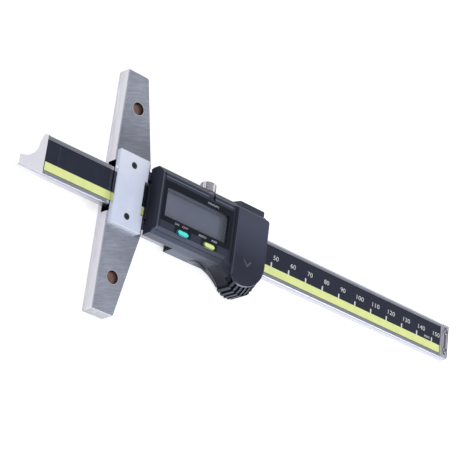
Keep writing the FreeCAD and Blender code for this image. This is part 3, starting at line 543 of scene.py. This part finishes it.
def print_ink(name, colour):
    finish = Finish(name, colour, 0.5)
    finish.vary(finish.noise(8.0), 0.92, 1.0)
    return finish.done()


def dark_moulding(name, colour):
    """The housing's dark plastic: a painted reflection makes its lower side paler where it is seen flat,
    with painted shade on the thumb rest's side, the upper bevel and the left end.
    """
    finish = moulded(name, colour, 0.48)
    # Painted reflection and sheen on the lower side, strongest where it is seen flat and near the
    # bottom.
    fade = finish.ramp(finish.parts.outputs[0], 38 * MM, 56 * MM, 1.0, 0.25)
    low_side_sheen = finish.both(finish.facing(1, -1, 0.25, 0.6), fade)
    finish.paint(low_side_sheen, linear(76, 83, 102))
    finish.paint(finish.both(finish.grazing(0.38, 0.72), low_side_sheen), linear(122, 126, 142))
    finish.paint(finish.both(low_side_sheen, finish.along(2, 6.4, 4.0)), linear(140, 144, 162))
    # Painted shade on the thumb rest's side, the upper bevel and the left end.
    rest = finish.both(finish.facing(1, -1, 0.25, 0.6), finish.along(0, 45, 56))
    finish.paint(rest, linear(48, 51, 65))
    finish.paint(finish.facing(1, 1, 0.3, 0.6), linear(22, 24, 32))
    finish.paint(finish.facing(0, -1, 0.3, 0.6), linear(44, 47, 60))
    return finish


def paint_front(finish):
    """Painted highlight lines along the front's edges, the cap's seat, and the painted shade round keys
    and cover.
    """
    front = finish.facing(2, 1, 0.9, 0.97)
    seat = span("battery_cover", 0)[0]
    # Painted highlight lines below the upper edge.
    for low, high, tone in highlight_lines:
        line = finish.box((front_left, seat - 0.4), (high_edge + low, high_edge + high), 0.1)
        finish.paint(finish.both(line, front), linear(tone - 6, tone, tone + 18))
    inner = finish.inside(0, front_left + 0.3, front_left + 1.2, 0.1)
    finish.paint(finish.both(inner, front), linear(38, 41, 54))
    # Painted highlight along the left end's bevel edge.
    finish.paint(finish.inside(0, front_left - 0.3, front_left + 0.1, 0.12), linear(88, 92, 110))
    finish.paint(finish.box(*cap_seat, 0.1), linear(74, 77, 88))
    finish.paint(finish.both(finish.inside(0, seat - cover_shade, seat, 0.9), front), linear(34, 37, 48))
    for key in ("on_off_button", "zero_button"):
        limits = [span(key, axis) for axis in (0, 1)]
        shade = finish.box(*[(low - key_shade, high + key_shade) for low, high in limits], 0.4)
        finish.paint(finish.both(shade, front), linear(14, 22, 30))


def paint_side(finish):
    """The seam that slants along the thumb rest over a paler lip, and the hollow with painted light on
    its wall and sill and a painted shade line at its foot.
    """
    wall = finish.facing(1, -1, 0.2, 0.5)
    x, z = finish.parts.outputs[0], finish.parts.outputs[2]
    slant = finish.math("ADD", z, finish.math("MULTIPLY", x, seam_slope))
    lip = finish.both(wall, finish.inside(0, seam_x[0] - 0.4, seam_x[1]),
                      finish.between(slant, 0, lip_high, 0.05))
    finish.paint(lip, linear(98, 100, 110))
    seam = finish.both(wall, finish.inside(0, *seam_x, 0.3),
                       finish.between(slant, seam_low, seam_high, 0.05))
    finish.paint(seam, linear(22, 24, 32))
    # Painted light on the hollow's wall and sill, with a painted shade line where they meet.
    hollow = finish.box(hollow_x, (side_low + 0.03, side_low + hollow_depth))
    low, high = hollow_z
    finish.paint(finish.both(hollow, finish.inside(2, low, high)), linear(86, 90, 104))
    finish.paint(finish.both(hollow, finish.inside(2, low, low + hollow_line)), linear(20, 22, 30))
    sill = finish.both(hollow, finish.inside(2, low - 0.3, low + 0.05))
    finish.paint(sill, linear(118, 121, 130))
    finish.paint(finish.both(sill, finish.along(0, hollow_x[1] - 2, hollow_x[0] + 2)),
                 linear(206, 206, 208))


def paint_ribs(finish):
    """The thumb rest: painted shade in its grooves and painted highlights on its crests."""
    low_part = finish.inside(1, far_y, rib_high)
    rest = finish.inside(0, rib_start - 1.0, far_x, 0.05)
    crests = finish.stripes(0, rib_start, rib_pitch, rib_crest)
    # Painted shade in the grooves, then painted highlights on the crests.
    finish.paint(finish.both(low_part, rest), linear(24, 26, 34))
    finish.paint(finish.both(crests, low_part, rest), linear(92, 96, 110))


def housing_finish():
    finish = dark_moulding("housing_plastic", linear(54, 57, 72))
    finish.shift("Specular IOR Level", finish.facing(0, -1, 0.3, 0.6), 0.25, 0.15)
    paint_front(finish)
    paint_side(finish)
    paint_ribs(finish)
    return finish.done()


def cover_finish():
    """The battery cover: painted highlights along its left and lower edges, painted light on its top
    toward +Y and on its upper side, and its arrow with painted shade on its walls and painted light on
    its floor.
    """
    finish = dark_moulding("cover_plastic", linear(46, 49, 64))
    low, high = span("battery_cover", 0)
    top = span("battery_cover", 2)[1]
    # Painted light on the top toward +Y and on the upper side.
    finish.paint(finish.both(finish.along(1, -10, 6), finish.facing(2, 1)), linear(74, 77, 95))
    finish.paint(finish.facing(1, 1, 0.3, 0.6), linear(66, 69, 82))
    # Painted highlight on the lower side, which stays darker near its left end.
    nose = finish.facing(1, -1, 0.3, 0.6)
    finish.paint(nose, linear(58, 62, 76))
    finish.paint(finish.both(nose, finish.along(0, low + 2.6, low + 4.6)), linear(150, 154, 168))
    # Painted highlight along the left edge.
    finish.paint(finish.inside(0, low - 1, low + 0.4, 0.1), linear(76, 80, 94))
    x, y = arrow_place
    wide, high = arrow_reach
    # Painted shade on the arrow's walls and painted light on its floor.
    recess = finish.both(finish.box((x - wide, x + wide), (y - high, y + high)),
                         finish.along(2, top - 0.04, top - 0.1))
    finish.paint(recess, linear(26, 28, 36))
    finish.paint(finish.both(recess, finish.facing(2, 1)), linear(98, 102, 118))
    return finish.done(Specular_IOR_Level=0.25)


housing_plastic = housing_finish()
cap_plastic = moulded("cap_plastic", linear(66, 69, 84), 0.48).done(Specular_IOR_Level=0.25)
dark_screw = screw_metal("dark_screw", linear(92, 94, 104), 0.4)
bright_metal = screw_metal("bright_metal", linear(184, 182, 187), 0.3)
brass = screw_metal("brass", linear(212, 180, 118), 0.3)
cell_steel = cell_metal()
board_green = moulded("board_green", linear(38, 92, 62), 0.4, 0.004, 3.0).done()
pad_rubber = moulded("pad_rubber", linear(96, 97, 102), 0.7, 0.01).done()
bezel_gloss = moulded("bezel_gloss", linear(24, 27, 38), 0.28, 0.002)

finishes = {
    "depth_base": base_steel(),
    "retaining_plate": plate_satin(),
    "retaining_screws": dark_screw,
    "gib": gib_steel(),
    "gib_screws": dark_screw,
    "clamp_shoe": brass,
    "lock_screw": bright_metal,
    "beam": beam_steel(),
    "scale_strip": moulded("scale_board", linear(214, 212, 190), 0.45, 0.004).done(),
    "scale_label": label_film(),
    "end_stop": stop_satin(),
    "end_stop_screws": bright_metal,
    "housing": housing_plastic,
    "housing_screws": dark_screw,
    "inner_frame": moulded("carrier_plastic", linear(206, 206, 200), 0.5).done(),
    "reader_head": board_green,
    "circuit_board": board_green,
    "contact_strips": pad_rubber,
    "lcd_panel": display_film(),
    "lcd_window": window_plastic(),
    "display_bezel": bezel_gloss.done(Specular_IOR_Level=0.2),
    # Each key: its colour, then the painted shade of its sloping sides.
    "on_off_button": key_plastic("on_off_button", linear(84, 252, 238), linear(8, 104, 112)),
    "zero_button": key_plastic("zero_button", linear(236, 252, 164), linear(104, 120, 48)),
    "origin_button": origin_key(),
    "key_pads": pad_rubber,
    "battery": cell_steel,
    "battery_contact_negative": brass,
    "battery_contact_positive": brass,
    "battery_cover": cover_finish(),
    "output_socket": moulded("socket_plastic", linear(40, 40, 44), 0.35, 0.003).done(),
    "output_cap": cap_plastic,
}
for node, material in finishes.items():
    dress(node, material)


def word_mesh(words, x, y, z, width, height):
    """Lettering as a thin solid print, its lower left corner at a place, stretched to a size."""
    curve = bpy.data.curves.new("word", "FONT")
    curve.body = words
    curve.extrude = 0.5
    curve.resolution_u = 4
    holder = bpy.data.objects.new("word", curve)
    bpy.context.scene.collection.objects.link(holder)
    bpy.context.view_layer.update()
    mesh = bpy.data.meshes.new_from_object(holder.evaluated_get(bpy.context.evaluated_depsgraph_get()))
    bpy.data.objects.remove(holder)
    xs = [v.co.x for v in mesh.vertices]
    ys = [v.co.y for v in mesh.vertices]
    grow = Matrix.Diagonal((width / (max(xs) - min(xs)), height / (max(ys) - min(ys)), print_thick, 1))
    shift = Matrix.Translation((x, y, z + print_thick / 2))
    mesh.transform(Matrix.Scale(MM, 4) @ shift @ grow @ Matrix.Translation((-min(xs), -min(ys), 0)))
    return mesh


def printed(name, meshes, material, body):
    """Several meshes joined into one piece that rides on a body."""
    joined = bmesh.new()
    for mesh in meshes:
        joined.from_mesh(mesh)
    bmesh.ops.remove_doubles(joined, verts=joined.verts, dist=1e-7)
    bmesh.ops.recalc_face_normals(joined, faces=joined.faces)
    mesh = bpy.data.meshes.new(name)
    joined.to_mesh(mesh)
    joined.free()
    mesh.materials.append(material)
    piece = bpy.data.objects.new(name, mesh)
    bpy.context.scene.collection.objects.link(piece)
    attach(piece, body)
    return piece


def bar_mesh(x, y, z):
    """A thin bar of print between limits on each axis."""
    mesh = bpy.data.meshes.new("bar")
    work = bmesh.new()
    size = [high - low for low, high in (x, y, z)]
    centre = [(low + high) / 2 for low, high in (x, y, z)]
    place = Matrix.Scale(MM, 4) @ Matrix.Translation(centre) @ Matrix.Diagonal((*size, 1))
    bmesh.ops.create_cube(work, size=1.0)
    bmesh.ops.subdivide_edges(work, edges=work.edges, cuts=1)
    bmesh.ops.transform(work, matrix=place, verts=work.verts)
    work.to_mesh(mesh)
    work.free()
    return mesh


white_ink = print_ink("white_ink", linear(228, 232, 226))
red_ink = print_ink("red_ink", linear(226, 176, 190))
soft_ink = print_ink("soft_ink", linear(206, 210, 222))

ticks, numbers = [], []
for index in range(scale_marks):
    mark = scale_zero + index * mark_pitch
    ticks.append(bar_mesh((mark - tick_width / 2, mark + tick_width / 2),
                          (stripe_high, stripe_high + tick_height),
                          (label_top, label_top + print_thick)))
    words = f"{index * mark_pitch:.0f}"
    numbers.append(word_mesh(words, mark + number_offset, number_low, label_top,
                             digit_width * len(words), number_height))
last_mark = scale_zero + (scale_marks - 1) * mark_pitch
numbers.append(word_mesh("mm", last_mark - unit_left, stripe_high + unit_low, label_top,
                         unit_width, unit_height))
printed("scale_ticks", ticks, white_ink, "beam")
printed("scale_numbers", numbers, white_ink, "beam")
for name, (words, x, y, width, height) in key_words.items():
    ink = red_ink if name == "off_word" else soft_ink
    word = word_mesh(words, x, y, bezel_top, width, height)
    printed(name, [word], ink, "slider")


def plain_floor():
    """Large white floor that keeps the shadow and meets the white background."""
    mesh = bpy.data.meshes.new("floor")
    corners = [(x * floor_reach, y * floor_reach, -floor_drop)
               for x, y in ((-1, -1), (1, -1), (1, 1), (-1, 1))]
    mesh.from_pydata(corners, [], [(0, 1, 2, 3)])
    floor = bpy.data.objects.new("floor", mesh)
    bpy.context.scene.collection.objects.link(floor)
    material = bpy.data.materials.new("floor_white")
    material.use_nodes = True
    tree = material.node_tree
    shader = tree.nodes["Principled BSDF"]
    shader.inputs["Base Color"].default_value = (floor_grey, floor_grey, floor_grey, 1)
    shader.inputs["Roughness"].default_value = 0.9
    shader.inputs["Specular IOR Level"].default_value = 0.0
    path = tree.nodes.new("ShaderNodeLightPath")
    seen = tree.nodes.new("ShaderNodeMath")
    seen.operation = "MAXIMUM"
    tree.links.new(path.outputs["Is Camera Ray"], seen.inputs[0])
    tree.links.new(path.outputs["Is Glossy Ray"], seen.inputs[1])
    lift = tree.nodes.new("ShaderNodeMath")
    lift.operation = "MULTIPLY"
    lift.inputs[1].default_value = floor_lift
    tree.links.new(seen.outputs[0], lift.inputs[0])
    shader.inputs["Emission Color"].default_value = (1, 1, 1, 1)
    tree.links.new(lift.outputs[0], shader.inputs["Emission Strength"])
    mesh.materials.append(material)


def studio_world():
    """White background, and a softer light than that on the object."""
    world = bpy.data.worlds.new("studio")
    bpy.context.scene.world = world
    world.use_nodes = True
    tree = world.node_tree
    light = tree.nodes["Background"]
    light.inputs["Color"].default_value = sky_colour
    place = tree.nodes.new("ShaderNodeTexCoord")
    parts = tree.nodes.new("ShaderNodeSeparateXYZ")
    level = tree.nodes.new("ShaderNodeMapRange")
    tree.links.new(place.outputs["Generated"], parts.inputs[0])
    tree.links.new(parts.outputs[2], level.inputs["Value"])
    level.inputs["To Min"].default_value = sky_low
    level.inputs["To Max"].default_value = sky_high
    tree.links.new(level.outputs["Result"], light.inputs["Strength"])
    white = tree.nodes.new("ShaderNodeBackground")
    white.inputs["Color"].default_value = (1, 1, 1, 1)
    white.inputs["Strength"].default_value = 1.0
    path = tree.nodes.new("ShaderNodeLightPath")
    mix = tree.nodes.new("ShaderNodeMixShader")
    tree.links.new(path.outputs["Is Camera Ray"], mix.inputs[0])
    tree.links.new(light.outputs[0], mix.inputs[1])
    tree.links.new(white.outputs[0], mix.inputs[2])
    tree.links.new(mix.outputs[0], tree.nodes["World Output"].inputs["Surface"])


def soft_light(name, place, size, power):
    """A round area lamp that looks at the middle of the object."""
    data = bpy.data.lights.new(name, "AREA")
    data.shape = "DISK"
    data.size = size
    data.energy = power
    data.color = lamp_colour
    lamp = bpy.data.objects.new(name, data)
    bpy.context.scene.collection.objects.link(lamp)
    lamp.location = place
    lamp.rotation_mode = "QUATERNION"
    lamp.rotation_quaternion = (Vector(lamp_aim) - Vector(place)).to_track_quat("-Z", "Y")


def photo_camera():
    data = bpy.data.cameras.new("camera")
    data.sensor_fit = "HORIZONTAL"
    data.sensor_width = sensor_width
    data.lens = focal_pixels / photo_pixels * sensor_width
    data.clip_start, data.clip_end = 0.01, 20.0
    camera = bpy.data.objects.new("camera", data)
    bpy.context.scene.collection.objects.link(camera)
    turn = Matrix((camera_right, -camera_down, -camera_forward)).transposed()
    camera.matrix_world = Matrix.Translation(camera_place) @ turn.to_4x4()
    bpy.context.scene.camera = camera


plain_floor()
studio_world()
for name, (place, size, power) in lamps.items():
    soft_light(name, place, size, power)
photo_camera()
bpy.context.scene.view_settings.view_transform = "Standard"
